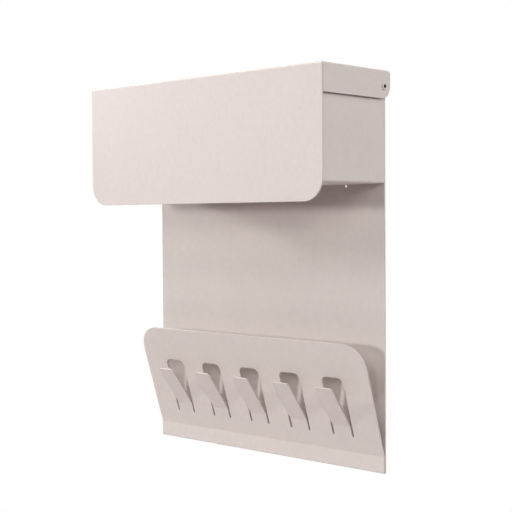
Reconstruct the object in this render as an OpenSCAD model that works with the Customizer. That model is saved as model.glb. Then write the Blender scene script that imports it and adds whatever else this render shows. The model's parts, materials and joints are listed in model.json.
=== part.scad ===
// Wall coat rack of folded sheet steel: a back panel whose lower end is hemmed
// and folded up into a leaning flap with lanced coat hooks, a letter box above
// it, and a drop-front lid that swings up on two pivot screws.
// X runs to the right, Y runs into the wall and Z runs up. The origin lies on
// the wall, midway between the two screw holes.

/* [Sheet] */
// Thickness of the steel sheet
sheet = 2; // [1.5:0.1:3]
// Inside radius of an ordinary fold
bend_r = 1; // [0.5:0.1:3]

/* [Back panel] */
// Width of the back panel, the flap and the box
panel_w = 400; // [380:1:600]
// Height of the back panel
panel_h = 485.5; // [420:0.5:700]
// Gap inside the folded hem at the lower edge
hem_gap = 0.4; // [0.2:0.1:1]
// Height of the upright strip between the hem and the flap
strip_h = 21; // [12:0.5:40]
// Diameter of the two small holes under the box
hang_hole_d = 3.5; // [2:0.1:6]
// Distance from the panel's sides to the two small holes under the box
hang_hole_inset = 60; // [30:1:100]

/* [Flap] */
// Length of the flap from its fold to its upper edge
flap_l = 147; // [120:0.5:170]
// Angle between the flap and the back panel
flap_lean = 17.4; // [8:0.1:25]
// Radius of the flap's upper corners
flap_corner_r = 33; // [5:0.5:40]

/* [Hooks] */
// Number of coat hooks
hook_count = 5; // [1:1:5]
// Distance from hook to hook
hook_pitch = 71; // [50:0.5:76]
// Width of a hook
hook_w = 28; // [15:0.5:33]
// Width of the cuts beside a hook
slit_w = 3; // [1:0.1:3.5]
// Width of the cut above a hook's tip
tip_cut = 2.6; // [2:0.1:6]
// Distance from the flap's fold to the lower end of the cuts
slit_foot = 21; // [10:0.5:24]
// Distance from the flap's fold to where a hook leaves the flap
hook_root = 34; // [30:0.5:45]
// Distance from the flap's fold to the top of a hook's opening
hook_top = 100.5; // [85:0.5:110]
// Angle between a hook and the flap
hook_lean = 18.6; // [8:0.1:30]
// Inside radius of a hook's fold
hook_bend_r = 6; // [2:0.5:12]
// Corner radius at a hook's tip
hook_corner_r = 5; // [1:0.1:8]

/* [Box] */
// Height of the box, which ends level with the back panel
box_h = 130; // [115:0.5:200]
// Depth of the box in front of the back panel
box_depth = 119; // [80:0.5:180]

/* [Lid] */
// Gap between the lid and the box at the sides and the front
lid_gap = 3; // [1.5:0.1:5]
// Gap between the upper edges of the box and the lid
lid_rise = 4.8; // [3.5:0.1:6]
// Height of the lid's front panel
lid_front_h = 159; // [130:0.5:220]
// Radius of the front panel's lower corners
lid_corner_r = 28; // [5:0.5:60]
// Height of the lid's side flanges
lid_flange_h = 34.5; // [30:0.5:60]
// Distance from the pivot to the rear end of the side flanges
lid_tail = 12.5; // [11:0.1:13]
// Radius of the rear upper corner of the side flanges
tail_top_r = 5.5; // [4:0.1:8]
// Radius of the rear lower corner of the side flanges
tail_low_r = 16; // [6:0.1:17]
// Width of the open seam between the side flanges and the front panel
lid_seam = 0.4; // [0.2:0.1:1]

/* [Pivot] */
// Distance from the back panel's front face to the pivot
pivot_out = 7; // [6.8:0.1:8]
// Distance from the back panel's upper edge down to the pivot
pivot_drop = 13; // [11:0.1:13.5]
// Diameter of the pivot screw's shoulder
shoulder_d = 6; // [5.6:0.1:7]
// Radial clearance of the shoulder in the lid
shoulder_fit = 0.05; // [0.02:0.01:0.1]
// Diameter of the pivot screw's thread
thread_d = 5; // [4:0.1:5.4]
// Length of thread that stands out of the nut
thread_end = 1; // [0.5:0.1:3]
// Radial clearance of the thread in the box and in the nut
thread_fit = 0.1; // [0.05:0.01:0.2]
// Play of the lid along each pivot screw
axial_play = 0.1; // [0.05:0.05:0.3]
// Diameter of the pivot screw's head
head_d = 9; // [8:0.1:12]
// Height of the pivot screw's head
head_h = 1.4; // [1:0.1:3]
// Chamfer round the pivot screw's head
head_chamfer = 0.5; // [0.1:0.1:0.8]
// Width across the flats of the hexagon socket
socket_af = 4; // [2.5:0.1:5]
// Depth of the hexagon socket
socket_depth = 3.2; // [1:0.1:4]
// Width across the flats of the pivot nut
nut_af = 8; // [7:0.1:8.2]
// Height of the pivot nut
nut_h = 4; // [3:0.1:6]
// Diameter of the spacer washer between the box and the lid
washer_d = 13; // [11:0.1:14]

/* [Wall fixing] */
// Distance between the wall and the back panel
standoff = 14; // [13:0.5:25]
// Distance from the panel's sides to the wall screws
screw_inset = 58; // [30:1:90]
// Distance from the back panel's upper edge down to the wall screws
screw_drop = 45.5; // [44:0.5:90]
// Diameter of the holes for the wall screws
screw_hole_d = 6.5; // [4:0.1:8]
// Diameter of the standoff sleeves behind the back panel
sleeve_d = 16; // [12:0.5:20]
// Diameter of the rubber buffers behind the lower corners
buffer_d = 20; // [10:0.5:30]
// Distance from the panel's side and lower edges to a buffer's centre
buffer_inset = 32; // [20:0.5:60]

/* [Small parts] */
// Chamfer round the free end of a buffer
buffer_chamfer = 0.6; // [0.2:0.1:1]
// Diameter of the self-adhesive buffers between the box and the lid
lid_buffer_d = 10; // [6:0.5:16]
// Distance from the box's side to the centre of a lid buffer
lid_buffer_inset = 35; // [20:0.5:80]
// Distance from the box's upper edge down to the centre of a lid buffer
lid_buffer_drop = 100; // [20:0.5:104]
// Diameter of the blind rivets' shank
rivet_d = 4; // [3:0.1:5]
// Diameter of the blind rivets' head
rivet_head_d = 8; // [6:0.1:10]
// Height of the blind rivets' head
rivet_head_h = 1.2; // [0.8:0.1:2]
// Radial clearance of the rivets' shank in its holes
rivet_fit = 0.05; // [0.02:0.01:0.1]
// Diameter of the set end of a rivet behind the panel
rivet_tail_d = 5.6; // [5.2:0.1:8]
// Length of the set end of a rivet behind the panel
rivet_tail_l = 4; // [2:0.1:6]
// Diameter of the hole that the broken mandrel leaves in a rivet
mandrel_d = 2.2; // [1.5:0.1:2.6]
// Distance from the box's sides to the rivets
rivet_inset = 110; // [100:1:150]
// Distance from the box's upper and lower edges to the rivets
rivet_drop = 22; // [15:0.5:30]

/* [Hidden] */

$fn = 64;

// Paint and small-part colours
paint = [0.80, 0.75, 0.72];
zinc = [0.70, 0.71, 0.72];
rubber = [0.16, 0.16, 0.17];
nylon = [0.90, 0.89, 0.86];

// A cutter passes this far beyond what it cuts
over = 1;

// Faces that would only graze each other are set this far apart
hair = 0.01;

// A hook is drawn with this much of the web below it, inside the flap's own sheet
web_lap = 2;

// Number of flats that stand for the round of an oblique fold
fold_steps = 4;

// Distances in front of the wall
panel_rear = standoff;
panel_front = standoff + sheet;
box_rear_wall = panel_front + sheet;
strip_front = panel_front + hem_gap + sheet;
box_front = panel_front + box_depth;
lid_inner = box_front + lid_gap;
lid_front = lid_inner + sheet;
pivot_y = panel_front + pivot_out;
lid_rear = pivot_y - lid_tail;

// Heights above the lower edge
box_bottom = panel_h - box_h;
lid_under = panel_h + lid_rise;
lid_top = lid_under + sheet;
lid_bottom = lid_top - lid_front_h;
flange_foot = lid_top - lid_flange_h;
pivot_z = panel_h - pivot_drop;
screw_z = panel_h - screw_drop;
lid_buffer_z = panel_h - lid_buffer_drop;
rivet_upper_z = panel_h - rivet_drop;
rivet_lower_z = box_bottom + rivet_drop;

// Widths
half_w = panel_w / 2;
flange_in = half_w + lid_gap;
lid_w = 2 * (flange_in + sheet);
screw_x = half_w - screw_inset;
hang_hole_x = half_w - hang_hole_inset;
rivet_x = half_w - rivet_inset;

// Folds: the hem turns the sheet right back, and an ordinary fold starts where
// its tangent leaves the flat
bend_out = bend_r + sheet;
hem_r = hem_gap / 2;
flap_setback = bend_r * tan(flap_lean / 2);
hem_z = hem_r + sheet;
hook_arc = (hook_bend_r + sheet / 2) * hook_lean * PI / 180;
hook_flat = hook_top - tip_cut - hook_root - hook_arc;
opening_w = hook_w + 2 * slit_w;

// Pivot stack, from the side of the box outwards
washer_t = lid_gap - axial_play;
shoulder_l = lid_gap + sheet + axial_play;
thread_l = sheet + nut_h + thread_end;

// Moves a piece drawn from the lower edge up so that the wall screws are at Z = 0
module placed() {
    translate([0, 0, -screw_z]) children();
}

// Extrudes a profile drawn in Y and Z over a width in X
module along_x(w) {
    rotate([90, 0, 90]) linear_extrude(w, center = true) children();
}

// Extrudes a profile drawn in X and Z from y0 forwards over a depth
module along_y(y0, depth) {
    translate([0, y0, 0]) rotate([90, 0, 0]) linear_extrude(depth) children();
}

// A round bar along Y from y0 to y1
module bar_y(x, z, d, y0, y1) {
    translate([x, y0, z]) rotate([-90, 0, 0]) cylinder(h = y1 - y0, d = d);
}

// Mirrors to the left what is drawn on the right
module on_side(side) {
    mirror([side < 0 ? 1 : 0, 0, 0]) children();
}

// Local frame of the right-hand pivot: Z runs outwards from the side of the box
module on_pivot() {
    translate([half_w, -pivot_y, pivot_z]) rotate([0, 90, 0]) children();
}

// A round bar along the pivot, from z0 to z1 outside the side of the box
module pivot_bar(d, z0, z1) {
    on_pivot() translate([0, 0, z0]) cylinder(h = z1 - z0, d = d);
}

// A quarter of a ring about the origin. Its thickness is the sheet's, and the
// signs of dir say which quarter.
module quarter_fold(r, dir) {
    intersection() {
        difference() {
            circle(r + sheet);
            circle(r);
        }
        mirror([dir.x < 0 ? 1 : 0, 0]) mirror([0, dir.y < 0 ? 1 : 0]) square(r + sheet);
    }
}

// A plate standing on the X axis with both upper corners rounded
module round_top_plate(w, h, r) {
    translate([-w / 2, 0]) square([w, h - r]);
    translate([-w / 2 + r, 0]) square([w - 2 * r, h]);
    for (side = [-1, 1]) translate([side * (w / 2 - r), h - r]) circle(r);
}

// The same plate with both lower corners rounded instead
module round_foot_plate(w, h, r) {
    translate([0, h]) mirror([0, 1]) round_top_plate(w, h, r);
}

// Cuts a corner to a round about a centre. The signs of dir say which corner.
module corner_cut(centre, r, dir) {
    translate(centre) mirror([dir.x < 0 ? 1 : 0, 0]) mirror([0, dir.y < 0 ? 1 : 0]) difference() {
        square(r + over);
        circle(r);
    }
}

// X position of a hook
function hook_x(i) = (i - (hook_count - 1) / 2) * hook_pitch;

// Directions in Y and Z for a sheet that leans out by an angle: up its slope,
// and square to it towards the front
function up_slope(a) = [-sin(a), cos(a)];
function outwards(a) = [-cos(a), -sin(a)];

// A point of the flap's section: s up the slope from its fold, h off its front
function flap_point(s, h) = [-strip_front, strip_h] + s * up_slope(flap_lean) + h * outwards(flap_lean);

// Points on a fold about a centre, from one lean to another
function fold_points(centre, r, a0, a1) =
    [for (i = [0:fold_steps]) centre - r * outwards(a0 + (a1 - a0) * i / fold_steps)];

// Centres of the fold below the flap and of the hooks' folds
flap_centre = flap_point(flap_setback, bend_r);
hook_centre = flap_point(hook_root, hook_bend_r);
tip_lean = flap_lean + hook_lean;

// Front and rear corners of the flap's section where the hooks leave it, and a
// little below, from where each hook is drawn together with its web
root_front = flap_point(hook_root, 0);
root_rear = flap_point(hook_root, -sheet);
web_front = flap_point(hook_root - web_lap, 0);
web_rear = flap_point(hook_root - web_lap, -sheet);

// Section of the strip and the flap
module flap_section() {
    polygon(concat(
        [[-strip_front + sheet, hem_z], [-strip_front, hem_z]],
        fold_points(flap_centre, bend_r, 0, flap_lean),
        [web_front, root_front, flap_point(flap_l, 0), flap_point(flap_l, -sheet), root_rear, web_rear],
        fold_points(flap_centre, bend_out, flap_lean, 0)));
}

// Section of a hook with the top of its web
module hook_section() {
    tip = hook_centre + hook_flat * up_slope(tip_lean);
    polygon(concat(
        [web_rear, web_front, root_front],
        fold_points(hook_centre, hook_bend_r, flap_lean, tip_lean),
        [tip - hook_bend_r * outwards(tip_lean), tip - (hook_bend_r + sheet) * outwards(tip_lean)],
        fold_points(hook_centre, hook_bend_r + sheet, tip_lean, flap_lean),
        [root_rear]));
}

// Local frame of the flap's front face: X across, Y up the slope, Z outwards
module on_flap() {
    translate([0, -strip_front, strip_h]) rotate([90 + flap_lean, 0, 0]) children();
}

// Local frame of a hook's front face, from the end of its fold
module on_hook() {
    on_flap() translate([0, hook_root, hook_bend_r]) rotate([hook_lean, 0, 0])
        translate([0, 0, -hook_bend_r]) children();
}

// Cutter through a sheet whose front face is at Z = 0
module through_sheet() {
    translate([0, 0, -sheet - over]) linear_extrude(sheet + 2 * over) children();
}

// Cuts both upper corners of a plate on the X axis to a round
module top_corner_cuts(w, h, r) {
    for (side = [-1, 1]) corner_cut([side * (w / 2 - r + hair), h - r + hair], r, [side, 1]);
}

// Cut round one hook: its opening, and the slits beside its web
module hook_cut() {
    opening_foot = hook_root - over;
    slit_end = slit_foot + slit_w / 2;
    translate([0, opening_foot])
        round_top_plate(opening_w, hook_top - opening_foot, hook_corner_r + slit_w);
    for (side = [-1, 1]) translate([side * (hook_w + slit_w) / 2, slit_end]) {
        translate([-slit_w / 2, 0]) square([slit_w, opening_foot - slit_end]);
        circle(d = slit_w);
    }
}

// One hook with the top of its web
module hook() {
    difference() {
        along_x(hook_w - 2 * hair) hook_section();
        on_hook() through_sheet() top_corner_cuts(hook_w, hook_flat, hook_corner_r);
    }
}

// Holes through the back panel and the rear wall of the box
module screw_holes() {
    for (side = [-1, 1])
        bar_y(side * screw_x, screw_z, screw_hole_d, -box_rear_wall - over, -panel_rear + over);
}

module rivet_holes() {
    d = rivet_d + 2 * rivet_fit;
    for (side = [-1, 1], z = [rivet_lower_z, rivet_upper_z])
        bar_y(side * rivet_x, z, d, -box_rear_wall - over, -panel_rear + over);
}

module hang_holes() {
    z = box_bottom - hang_hole_d / 2;
    for (side = [-1, 1])
        bar_y(side * hang_hole_x, z, hang_hole_d, -panel_front - over, -panel_rear + over);
}

// One sheet: panel, hem, strip, flap and hooks
module back_panel() {
    color(paint) placed() {
        difference() {
            along_x(panel_w) {
                translate([-panel_front, hem_z]) square([sheet, panel_h - hem_z]);
                translate([-panel_front - hem_r, hem_z]) {
                    quarter_fold(hem_r, [1, -1]);
                    quarter_fold(hem_r, [-1, -1]);
                }
                flap_section();
            }
            on_flap() through_sheet() {
                top_corner_cuts(panel_w, flap_l, flap_corner_r);
                for (i = [0:hook_count - 1]) translate([hook_x(i), 0]) hook_cut();
            }
            screw_holes();
            rivet_holes();
            hang_holes();
        }
        for (i = [0:hook_count - 1]) translate([hook_x(i), 0, 0]) hook();
    }
}

// Section of an open tray, standing on the X axis
module tray_section(w, h) {
    translate([-w / 2 + bend_out, 0]) square([w - 2 * bend_out, sheet]);
    for (side = [-1, 1]) {
        translate([side * (w / 2 - sheet / 2) - sheet / 2, bend_out]) square([sheet, h - bend_out]);
        translate([side * (w / 2 - bend_out), bend_out]) quarter_fold(bend_r, [side, -1]);
    }
}

// A tray folded from a cross-shaped blank, with its corners welded and ground
module letter_box() {
    middle = -(panel_front + box_front) / 2;
    color(paint) placed() difference() {
        union() {
            intersection() {
                along_x(panel_w) translate([middle, box_bottom]) tray_section(box_depth, box_h);
                along_y(-panel_front, box_depth) translate([0, box_bottom])
                    round_foot_plate(panel_w, box_h, bend_out);
            }
            intersection() {
                along_y(-panel_front, box_depth) translate([0, box_bottom]) tray_section(panel_w, box_h);
                along_x(panel_w) translate([middle, box_bottom])
                    round_foot_plate(box_depth, box_h, bend_out);
            }
        }
        screw_holes();
        rivet_holes();
        for (side = [-1, 1]) on_side(side) pivot_bar(thread_d + 2 * thread_fit, -sheet - over, over);
    }
}

// Outline of the lid seen from the side, drawn in Y and Z: the flanges end
// behind the front panel, and the fold above them runs to the front
module flange_outline() {
    difference() {
        translate([-lid_front, flange_foot]) square([lid_front - lid_rear, lid_flange_h]);
        translate([-lid_front - over, flange_foot - over])
            square([sheet + lid_seam + over, lid_flange_h - bend_out + over]);
        corner_cut([-lid_front + bend_out, lid_top - bend_out], bend_out, [-1, 1]);
        corner_cut([-lid_rear - tail_top_r, lid_top - tail_top_r], tail_top_r, [1, 1]);
        corner_cut([-lid_rear - tail_low_r, flange_foot + tail_low_r], tail_low_r, [1, -1]);
    }
}

// Outline of the lid seen from the front, drawn in X and Z
module lid_front_outline() {
    translate([0, lid_bottom]) intersection() {
        round_top_plate(lid_w, lid_front_h, bend_out);
        round_foot_plate(lid_w, lid_front_h, lid_corner_r);
    }
}

// Section of the lid's top and front panel, drawn in Y and Z
module lid_section(top_rear) {
    fold_y = -lid_front + bend_out;
    translate([fold_y, lid_under]) square([top_rear - fold_y, sheet]);
    translate([fold_y, lid_top - bend_out]) quarter_fold(bend_r, [-1, 1]);
    translate([-lid_front, lid_bottom]) square([sheet, lid_front_h - bend_out]);
}

// Section of the right-hand flange with its fold, drawn in X and Z
module flange_section() {
    translate([flange_in, flange_foot]) square([sheet, lid_flange_h - bend_out]);
    translate([flange_in - bend_r, lid_top - bend_out]) quarter_fold(bend_r, [1, 1]);
}

// One sheet: top, front panel and side flanges
module lid() {
    top_rear = -lid_rear - tail_top_r;
    color(paint) placed() difference() {
        union() {
            intersection() {
                along_x(lid_w) lid_section(top_rear);
                along_y(top_rear, lid_front + top_rear) lid_front_outline();
            }
            intersection() {
                along_y(-lid_rear, lid_front - lid_rear)
                    for (side = [-1, 1]) mirror([side < 0 ? 1 : 0, 0]) flange_section();
                along_x(lid_w) flange_outline();
            }
        }
        for (side = [-1, 1]) on_side(side)
            pivot_bar(shoulder_d + 2 * shoulder_fit, lid_gap - over, lid_gap + sheet + over);
    }
}

// A shoulder screw with a low head: the lid turns on its shoulder
module pivot_screw(side) {
    head_top = shoulder_l + head_h;
    color(paint) placed() on_side(side) on_pivot() difference() {
        rotate_extrude() polygon([
            [0, -thread_l], [thread_d / 2, -thread_l], [thread_d / 2, 0],
            [shoulder_d / 2, 0], [shoulder_d / 2, shoulder_l], [head_d / 2, shoulder_l],
            [head_d / 2, head_top - head_chamfer], [head_d / 2 - head_chamfer, head_top], [0, head_top]]);
        translate([0, 0, head_top - socket_depth])
            cylinder(h = socket_depth + over, r = socket_af / sqrt(3), $fn = 6);
    }
}

module pivot_washer(side) {
    color(nylon) placed() on_side(side) difference() {
        pivot_bar(washer_d, 0, washer_t);
        pivot_bar(shoulder_d + 2 * shoulder_fit, -over, washer_t + over);
    }
}

module pivot_nut(side) {
    color(zinc) placed() on_side(side) difference() {
        on_pivot() translate([0, 0, -sheet - nut_h]) cylinder(h = nut_h, r = nut_af / sqrt(3), $fn = 6);
        pivot_bar(thread_d + 2 * thread_fit, -sheet - nut_h - over, -sheet + over);
    }
}

// A sleeve keeps the back panel off the wall so that the lid can swing
module standoff_sleeve(side) {
    x = side * screw_x;
    color(zinc) placed() difference() {
        bar_y(x, screw_z, sleeve_d, -panel_rear, 0);
        bar_y(x, screw_z, screw_hole_d, -panel_rear - over, over);
    }
}

// A round buffer that stands on its seat at the origin, with its free end up
module buffer(d, h) {
    rotate_extrude() polygon([
        [0, 0], [d / 2, 0], [d / 2, h - buffer_chamfer], [d / 2 - buffer_chamfer, h], [0, h]]);
}

module wall_buffer(side) {
    x = side * (half_w - buffer_inset);
    color(rubber) placed() translate([x, -panel_rear, buffer_inset]) rotate([-90, 0, 0])
        buffer(buffer_d, standoff);
}

module lid_buffer(side) {
    x = side * (half_w - lid_buffer_inset);
    color(rubber) placed() translate([x, -box_front, lid_buffer_z]) rotate([90, 0, 0])
        buffer(lid_buffer_d, lid_gap);
}

// A blind rivet through the rear wall of the box and the back panel
module rivet(side, z) {
    x = side * rivet_x;
    color(zinc) placed() difference() {
        union() {
            bar_y(x, z, rivet_head_d, -box_rear_wall - rivet_head_h, -box_rear_wall);
            bar_y(x, z, rivet_d, -box_rear_wall, -panel_rear);
            bar_y(x, z, rivet_tail_d, -panel_rear, -panel_rear + rivet_tail_l);
        }
        bar_y(x, z, mandrel_d, -box_rear_wall - rivet_head_h - over, -panel_rear);
    }
}

back_panel();
letter_box();
lid();
pivot_screw(-1);  // pivot_screw_left
pivot_screw(1);  // pivot_screw_right
pivot_washer(-1);  // pivot_washer_left
pivot_washer(1);  // pivot_washer_right
pivot_nut(-1);  // pivot_nut_left
pivot_nut(1);  // pivot_nut_right
standoff_sleeve(-1);  // standoff_sleeve_left
standoff_sleeve(1);  // standoff_sleeve_right
wall_buffer(-1);  // wall_buffer_left
wall_buffer(1);  // wall_buffer_right
lid_buffer(-1);  // lid_buffer_left
lid_buffer(1);  // lid_buffer_right
rivet(-1, rivet_upper_z);  // rivet_upper_left
rivet(1, rivet_upper_z);  // rivet_upper_right
rivet(-1, rivet_lower_z);  // rivet_lower_left
rivet(1, rivet_lower_z);  // rivet_lower_right
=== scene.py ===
# A wall coat rack in powder-coated sheet steel, dressed for the picture. The
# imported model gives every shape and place. Lengths are in metres: X runs to the
# right, Y runs into the wall and Z runs up.
import json
import math

import bpy
from mathutils import Matrix, Vector

# Camera: the place and lens of the photograph, worked out from straight edges.
# Angles are in degrees.
CAMERA_AT = (1.04751, -1.15448, -0.12691)
CAMERA_YAW = 43.005
CAMERA_PITCH = 1.816
CAMERA_ROLL = -0.364
CAMERA_LENS_MM = 81.41
SENSOR_MM = 36.0

# Noise: its layers of detail, how strongly the finer ones count, and the middle
# range that holds most of its values
SMOOTH_DETAIL = 1.0
PLAIN_DETAIL = 2.0
FINE_DETAIL = 3.0
PLAIN_MIX = 0.5
NOISE_MIDDLE = (0.25, 0.75)

# Colours are linear red, green and blue. A tone is the range of factors by which
# a noise lightens or darkens the colour, and a depth is how far it raises the
# surface.

# Powder coat: a fine grain over the slow waves of orange peel, and a faint
# mottle with wider clouds in its tone
COAT_COLOR = (0.620, 0.552, 0.520)
COAT_MOTTLE_SIZE = 0.007
COAT_MOTTLE_TONE = (0.974, 1.026)
COAT_CLOUD_SIZE = 0.060
COAT_CLOUD_TONE = (0.990, 1.010)
COAT_ROUGHNESS = (0.41, 0.51)
COAT_GRAIN_SIZE = 0.0009
COAT_GRAIN_MIX = 0.6
COAT_GRAIN_DEPTH = 0.000010
COAT_PEEL_SIZE = 0.0045
COAT_PEEL_DEPTH = 0.000018
SHEET_EDGE_RADIUS = 0.0008
SCREW_EDGE_RADIUS = 0.0003

# Hexagon socket of the pivot screws: painted dark inside this radius, as painted shade of the
# deep recess
SOCKET_SHADE_COLOR = (0.060, 0.056, 0.055)
SOCKET_RADIUS = 0.0023
SOCKET_RIM = 0.0002

# Zinc plate: spangles that differ in tone, gloss and height
ZINC_COLOR = (0.56, 0.57, 0.58)
ZINC_TONE = (0.94, 1.06)
ZINC_ROUGHNESS = (0.30, 0.42)
ZINC_SPANGLE_SIZE = 0.0016
ZINC_SPANGLE_DEPTH = 0.000008
ZINC_EDGE_RADIUS = 0.0002

# Nylon: a faint haze, and light that passes a little way into it
NYLON_COLOR = (0.78, 0.76, 0.71)
NYLON_TONE = (0.97, 1.03)
NYLON_ROUGHNESS = (0.42, 0.52)
NYLON_HAZE_SIZE = 0.002
NYLON_SUBSURFACE = 0.2
NYLON_SUBSURFACE_SCALE = 0.001
NYLON_EDGE_RADIUS = 0.0003

# Rubber: a pale bloom in patches, over a fine grain
RUBBER_COLOR = (0.030, 0.030, 0.032)
RUBBER_TONE = (0.85, 1.25)
RUBBER_ROUGHNESS = (0.72, 0.86)
RUBBER_BLOOM_SIZE = 0.004
RUBBER_GRAIN_SIZE = 0.0005
RUBBER_GRAIN_DEPTH = 0.000020
RUBBER_EDGE_RADIUS = 0.0003

# Rays that each rounded edge is shaded by
EDGE_SAMPLES = 6

# Floor: a wide disc well below the rack, which fades into the white backdrop
FLOOR_COLOR = (0.88, 0.88, 0.88)
FLOOR_BOUNCE_COLOR = (0.61, 0.545, 0.545)
FLOOR_Z = -1.10
FLOOR_RADIUS = 1.6
FLOOR_SIDES = 96
FLOOR_FADE_FROM = 0.60
FLOOR_FADE_TO = 1.50

# Lamps: name, direction it stands in (degrees to the right of the rack's
# front, degrees above it), size and power in watts
LAMPS = [
    ("key_left", -64, 15, 0.4, 37.5),
    ("wide_left", -90, 36, 3.0, 94.0),
    ("front_low", -10, 5, 0.4, 40.5),
    ("front_high", 0, 40, 0.7, 17.0),
    ("top_front", 0, 58, 0.7, 20.5),
    ("near_right", 25, 14, 0.7, 14.0),
    ("fill_right", 45, 14, 0.7, 17.0),
    ("wide_right", 90, 36, 3.0, 41.0),
    ("side_right", 110, 14, 0.7, 38.0),
    ("back_left", -165, 8, 1.5, 56.0),
]
LAMP_DISTANCE = 3.5
LAMP_TARGET = (0.0, -0.06, -0.20)


# Nodes of a material

def new_material(name):
    """A material with an empty node tree, and the input that takes its surface."""
    material = bpy.data.materials.new(name)
    material.use_nodes = True
    tree = material.node_tree
    tree.nodes.clear()
    output = tree.nodes.new("ShaderNodeOutputMaterial")
    return material, tree, output.inputs["Surface"]


def new_finish(name):
    """A material with its node tree and its Principled shader."""
    material, tree, surface = new_material(name)
    shader = tree.nodes.new("ShaderNodeBsdfPrincipled")
    tree.links.new(shader.outputs["BSDF"], surface)
    return material, tree, shader


def feed(tree, shader, color, roughness, normal):
    """Links a finish's colour, roughness and normal to its shader."""
    tree.links.new(color, shader.inputs["Base Color"])
    tree.links.new(roughness, shader.inputs["Roughness"])
    tree.links.new(normal, shader.inputs["Normal"])


def place(tree):
    """The point being shaded, in metres."""
    return tree.nodes.new("ShaderNodeTexCoord").outputs["Object"]


def noise(tree, vector, size, detail=PLAIN_DETAIL, mix=PLAIN_MIX):
    """A noise whose features are about that large, in metres."""
    node = tree.nodes.new("ShaderNodeTexNoise")
    node.inputs["Scale"].default_value = 1.0 / size
    node.inputs["Detail"].default_value = detail
    node.inputs["Roughness"].default_value = mix
    tree.links.new(vector, node.inputs["Vector"])
    return node.outputs["Fac"]


def spread(tree, value, limits):
    """Maps the middle of a noise to the range between two limits."""
    node = tree.nodes.new("ShaderNodeMapRange")
    node.inputs["From Min"].default_value = NOISE_MIDDLE[0]
    node.inputs["From Max"].default_value = NOISE_MIDDLE[1]
    node.inputs["To Min"].default_value = limits[0]
    node.inputs["To Max"].default_value = limits[1]
    tree.links.new(value, node.inputs["Value"])
    return node.outputs["Result"]


def ramp(tree, value, start, end):
    """0 up to the start, 1 from the end on, and a smooth rise between them."""
    node = tree.nodes.new("ShaderNodeMapRange")
    node.interpolation_type = "SMOOTHSTEP"
    node.inputs["From Min"].default_value = start
    node.inputs["From Max"].default_value = end
    tree.links.new(value, node.inputs["Value"])
    return node.outputs["Result"]


def combined(tree, operation, first, second):
    """Two values joined by a Math node."""
    node = tree.nodes.new("ShaderNodeMath")
    node.operation = operation
    tree.links.new(first, node.inputs[0])
    tree.links.new(second, node.inputs[1])
    return node.outputs["Value"]


def shaded(tree, color, value):
    """The colour, lighter or darker by a factor."""
    node = tree.nodes.new("ShaderNodeVectorMath")
    node.operation = "SCALE"
    node.inputs[0].default_value = color
    tree.links.new(value, node.inputs["Scale"])
    return node.outputs["Vector"]


def bump(tree, height, depth, normal):
    """Raises the surface by a noise times a depth in metres."""
    node = tree.nodes.new("ShaderNodeBump")
    node.inputs["Strength"].default_value = 1.0
    node.inputs["Distance"].default_value = depth
    tree.links.new(height, node.inputs["Height"])
    tree.links.new(normal, node.inputs["Normal"])
    return node.outputs["Normal"]


def rounded_edges(tree, radius):
    """Shades sharp edges as if they were rounded."""
    node = tree.nodes.new("ShaderNodeBevel")
    node.samples = EDGE_SAMPLES
    node.inputs["Radius"].default_value = radius
    return node.outputs["Normal"]


# Materials

def socket_shade_mask(tree, point, axis_at):
    """0 inside the socket of a screw along X, where painted shade darkens it, and 1 outside it.
    """
    across = tree.nodes.new("ShaderNodeVectorMath")
    across.operation = "MULTIPLY"
    across.inputs[1].default_value = (0.0, 1.0, 1.0)
    tree.links.new(point, across.inputs[0])
    distance = tree.nodes.new("ShaderNodeVectorMath")
    distance.operation = "DISTANCE"
    distance.inputs[1].default_value = (0.0, axis_at[1], axis_at[2])
    tree.links.new(across.outputs["Vector"], distance.inputs[0])
    return ramp(tree, distance.outputs["Value"], SOCKET_RADIUS, SOCKET_RADIUS + SOCKET_RIM)


def powder_coat(name, edge_radius, socket_at=None):
    """Satin powder coat with a fine texture, baked on the sheet and on the pivot screws.

    A screw's axis passes through socket_at, and its socket and rim are painted dark as painted
    shade.
    """
    material, tree, shader = new_finish(name)
    point = place(tree)
    mottle = spread(tree, noise(tree, point, COAT_MOTTLE_SIZE), COAT_MOTTLE_TONE)
    cloud = spread(tree, noise(tree, point, COAT_CLOUD_SIZE), COAT_CLOUD_TONE)
    color = shaded(tree, COAT_COLOR, combined(tree, "MULTIPLY", mottle, cloud))
    # Painted shade: the screw's socket and a thin rim around it are coloured near black, as if in
    # shadow
    if socket_at is not None:
        mix = tree.nodes.new("ShaderNodeMix")
        mix.data_type = "RGBA"
        mix.inputs["A"].default_value = (*SOCKET_SHADE_COLOR, 1.0)
        tree.links.new(socket_shade_mask(tree, point, socket_at), mix.inputs["Factor"])
        tree.links.new(color, mix.inputs["B"])
        color = mix.outputs["Result"]
    grain = noise(tree, point, COAT_GRAIN_SIZE, FINE_DETAIL, COAT_GRAIN_MIX)
    peel = noise(tree, point, COAT_PEEL_SIZE, SMOOTH_DETAIL)
    waves = bump(tree, peel, COAT_PEEL_DEPTH, rounded_edges(tree, edge_radius))
    normal = bump(tree, grain, COAT_GRAIN_DEPTH, waves)
    feed(tree, shader, color, spread(tree, grain, COAT_ROUGHNESS), normal)
    return material


def zinc_plate():
    """Blue zinc plating on nuts, sleeves and rivets."""
    material, tree, shader = new_finish("zinc_plate")
    shader.inputs["Metallic"].default_value = 1.0
    spangle = noise(tree, place(tree), ZINC_SPANGLE_SIZE, FINE_DETAIL)
    color = shaded(tree, ZINC_COLOR, spread(tree, spangle, ZINC_TONE))
    normal = bump(tree, spangle, ZINC_SPANGLE_DEPTH, rounded_edges(tree, ZINC_EDGE_RADIUS))
    feed(tree, shader, color, spread(tree, spangle, ZINC_ROUGHNESS), normal)
    return material


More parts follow.
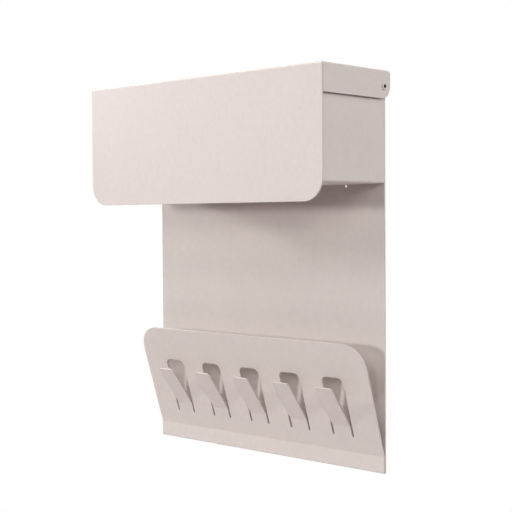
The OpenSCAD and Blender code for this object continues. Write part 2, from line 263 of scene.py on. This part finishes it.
def nylon():
    """Natural nylon of the spacer washers."""
    material, tree, shader = new_finish("nylon")
    shader.inputs["Subsurface Weight"].default_value = NYLON_SUBSURFACE
    shader.inputs["Subsurface Scale"].default_value = NYLON_SUBSURFACE_SCALE
    haze = noise(tree, place(tree), NYLON_HAZE_SIZE)
    color = shaded(tree, NYLON_COLOR, spread(tree, haze, NYLON_TONE))
    normal = rounded_edges(tree, NYLON_EDGE_RADIUS)
    feed(tree, shader, color, spread(tree, haze, NYLON_ROUGHNESS), normal)
    return material


def moulded_rubber():
    """Dull moulded rubber of the buffers."""
    material, tree, shader = new_finish("moulded_rubber")
    point = place(tree)
    bloom = noise(tree, point, RUBBER_BLOOM_SIZE)
    grain = noise(tree, point, RUBBER_GRAIN_SIZE, FINE_DETAIL)
    color = shaded(tree, RUBBER_COLOR, spread(tree, bloom, RUBBER_TONE))
    normal = bump(tree, grain, RUBBER_GRAIN_DEPTH, rounded_edges(tree, RUBBER_EDGE_RADIUS))
    feed(tree, shader, color, spread(tree, grain, RUBBER_ROUGHNESS), normal)
    return material


def dress(frame):
    """Gives each node the material of the slot that the record names for it."""
    hinge = frame["record"]["behaviour"]["joints"][0]
    finish = {
        "paint": powder_coat("powder_coat", SHEET_EDGE_RADIUS),
        "painted_screws": powder_coat("painted_screw", SCREW_EDGE_RADIUS, hinge["pos_m"]),
        "zinc": zinc_plate(),
        "nylon": nylon(),
        "rubber": moulded_rubber(),
    }
    for part in frame["record"]["subparts"]:
        node = frame["nodes"][part["node"]]
        node.data.materials.clear()
        node.data.materials.append(finish[part["material_slot"]])


# Studio

def in_view(tree):
    """1 for what the camera sees, straight or as a reflection, and 0 for other light."""
    path = tree.nodes.new("ShaderNodeLightPath")
    return combined(tree, "MAXIMUM", path.outputs["Is Camera Ray"], path.outputs["Is Glossy Ray"])


def matt(tree, color):
    """A matt surface of that colour."""
    node = tree.nodes.new("ShaderNodeBsdfDiffuse")
    node.inputs["Color"].default_value = (*color, 1.0)
    return node.outputs["BSDF"]


def blend(tree, factor, first, second):
    """The first shader where the factor is 0, and the second where it is 1."""
    node = tree.nodes.new("ShaderNodeMixShader")
    tree.links.new(factor, node.inputs["Fac"])
    tree.links.new(first, node.inputs[1])
    tree.links.new(second, node.inputs[2])
    return node.outputs["Shader"]


def floor():
    """A pale disc below the rack.

    Near the rack it keeps the shadow, and outwards it fades to white. It throws
    less light up than it shows, so that the rack keeps its own shadows.
    """
    material, tree, surface = new_material("floor")
    seen = in_view(tree)
    ground = blend(tree, seen, matt(tree, FLOOR_BOUNCE_COLOR), matt(tree, FLOOR_COLOR))
    white = tree.nodes.new("ShaderNodeEmission")
    distance = tree.nodes.new("ShaderNodeVectorMath")
    distance.operation = "LENGTH"
    tree.links.new(place(tree), distance.inputs[0])
    outwards = ramp(tree, distance.outputs["Value"], FLOOR_FADE_FROM, FLOOR_FADE_TO)
    fade = combined(tree, "MULTIPLY", outwards, seen)
    tree.links.new(blend(tree, fade, ground, white.outputs["Emission"]), surface)
    bpy.ops.mesh.primitive_circle_add(
        vertices=FLOOR_SIDES, radius=FLOOR_RADIUS, fill_type="NGON", location=(0, 0, FLOOR_Z)
    )
    disc = bpy.context.object
    disc.name = "floor"
    disc.data.materials.append(material)


def plain_world(tree, strength):
    """A white world of that strength."""
    node = tree.nodes.new("ShaderNodeBackground")
    node.inputs["Color"].default_value = (1.0, 1.0, 1.0, 1.0)
    node.inputs["Strength"].default_value = strength
    return node.outputs["Background"]


def backdrop():
    """A world that shows white and lights nothing."""
    world = bpy.data.worlds.new("backdrop")
    world.use_nodes = True
    tree = world.node_tree
    tree.nodes.clear()
    output = tree.nodes.new("ShaderNodeOutputWorld")
    dark = plain_world(tree, 0.0)
    white = plain_world(tree, 1.0)
    tree.links.new(blend(tree, in_view(tree), dark, white), output.inputs["Surface"])
    bpy.context.scene.world = world


def lamp(name, azimuth, elevation, size, power):
    """A round soft lamp that faces the rack."""
    data = bpy.data.lights.new(name, "AREA")
    data.shape = "DISK"
    data.size = size
    data.energy = power
    a = math.radians(azimuth)
    e = math.radians(elevation)
    away = Vector((math.sin(a) * math.cos(e), -math.cos(a) * math.cos(e), math.sin(e)))
    obj = bpy.data.objects.new(name, data)
    obj.location = Vector(LAMP_TARGET) + LAMP_DISTANCE * away
    obj.rotation_euler = away.to_track_quat("Z", "Y").to_euler()
    bpy.context.scene.collection.objects.link(obj)


def camera():
    """The camera where the photographer's stood."""
    a = math.radians(CAMERA_YAW)
    e = math.radians(CAMERA_PITCH)
    back = Vector((math.sin(a) * math.cos(e), -math.cos(a) * math.cos(e), math.sin(e)))
    right = (-back).cross(Vector((0.0, 0.0, 1.0))).normalized()
    up = right.cross(-back)
    turn = Matrix.Rotation(math.radians(CAMERA_ROLL), 4, "Z")
    axes = Matrix((right, up, back)).transposed().to_4x4()
    data = bpy.data.cameras.new("camera")
    data.sensor_width = SENSOR_MM
    data.lens = CAMERA_LENS_MM
    obj = bpy.data.objects.new("camera", data)
    obj.matrix_world = Matrix.Translation(CAMERA_AT) @ axes @ turn
    bpy.context.scene.collection.objects.link(obj)
    bpy.context.scene.camera = obj


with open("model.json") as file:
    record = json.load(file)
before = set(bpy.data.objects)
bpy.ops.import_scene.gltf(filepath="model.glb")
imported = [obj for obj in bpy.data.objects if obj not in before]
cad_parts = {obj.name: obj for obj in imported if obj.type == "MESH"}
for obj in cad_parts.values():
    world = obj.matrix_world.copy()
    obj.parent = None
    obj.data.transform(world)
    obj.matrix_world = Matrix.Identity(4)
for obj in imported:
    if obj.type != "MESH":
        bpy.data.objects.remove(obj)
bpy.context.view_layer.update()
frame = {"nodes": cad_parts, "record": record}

camera()
dress(frame)
floor()
backdrop()
for settings in LAMPS:
    lamp(*settings)
bpy.context.scene.view_settings.view_transform = "Standard"
